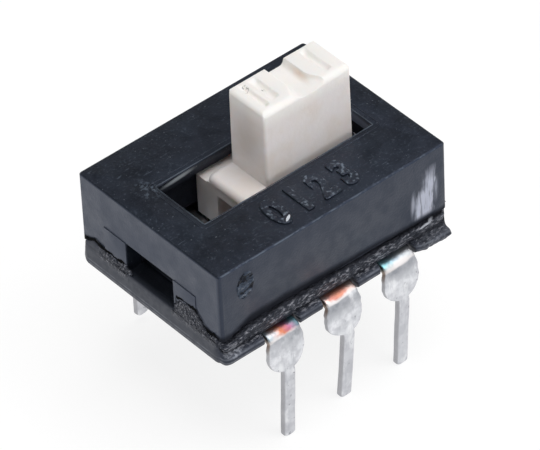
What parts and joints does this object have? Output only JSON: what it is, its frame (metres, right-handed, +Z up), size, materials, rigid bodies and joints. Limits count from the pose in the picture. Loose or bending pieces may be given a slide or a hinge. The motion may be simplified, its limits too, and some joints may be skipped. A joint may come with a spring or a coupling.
{
  "type": "slide switch",
  "caption": "Miniature slide switch: a low black housing with a pale grooved knob in a long slot, on two rows of flat board pins.",
  "frame": {"origin": "middle of the footprint, in the plane of the pin tips", "axes": "+X along the slide towards the slider's rest position, +Y across the pin rows towards the back row, +Z up out of the housing's top"},
  "size_m": [0.01, 0.0082, 0.011],
  "materials": {
    "housing_plastic": "moulded, fine matt, lightly scratched",
    "base_plastic": "moulded, matt, rough along the seam",
    "slider_plastic": "moulded, satin, cream white",
    "terminal_metal": "dull tin plate, tinted at the bend",
    "bridge_metal": "bright sheet",
    "spring_wire": "drawn wire",
    "ball_steel": "polished"
  },
  "bodies": {
    "body": {"housing": "housing_plastic", "base": "base_plastic", "terminal_front_left": "terminal_metal", "terminal_front_centre": "terminal_metal", "terminal_front_right": "terminal_metal", "terminal_back_left": "terminal_metal", "terminal_back_centre": "terminal_metal", "terminal_back_right": "terminal_metal"},
    "slider": {"slider": "slider_plastic", "contact_bridge_front": "bridge_metal", "contact_bridge_back": "bridge_metal", "contact_spring_front": "spring_wire", "contact_spring_back": "spring_wire", "detent_spring": "spring_wire", "detent_ball_front": "ball_steel", "detent_ball_back": "ball_steel"}
  },
  "joints": [
    {"name": "slider_travel", "type": "slide", "parent": "body", "child": "slider", "axis": [1, 0, 0], "range_m": [-0.00185, 0]}
  ]
}
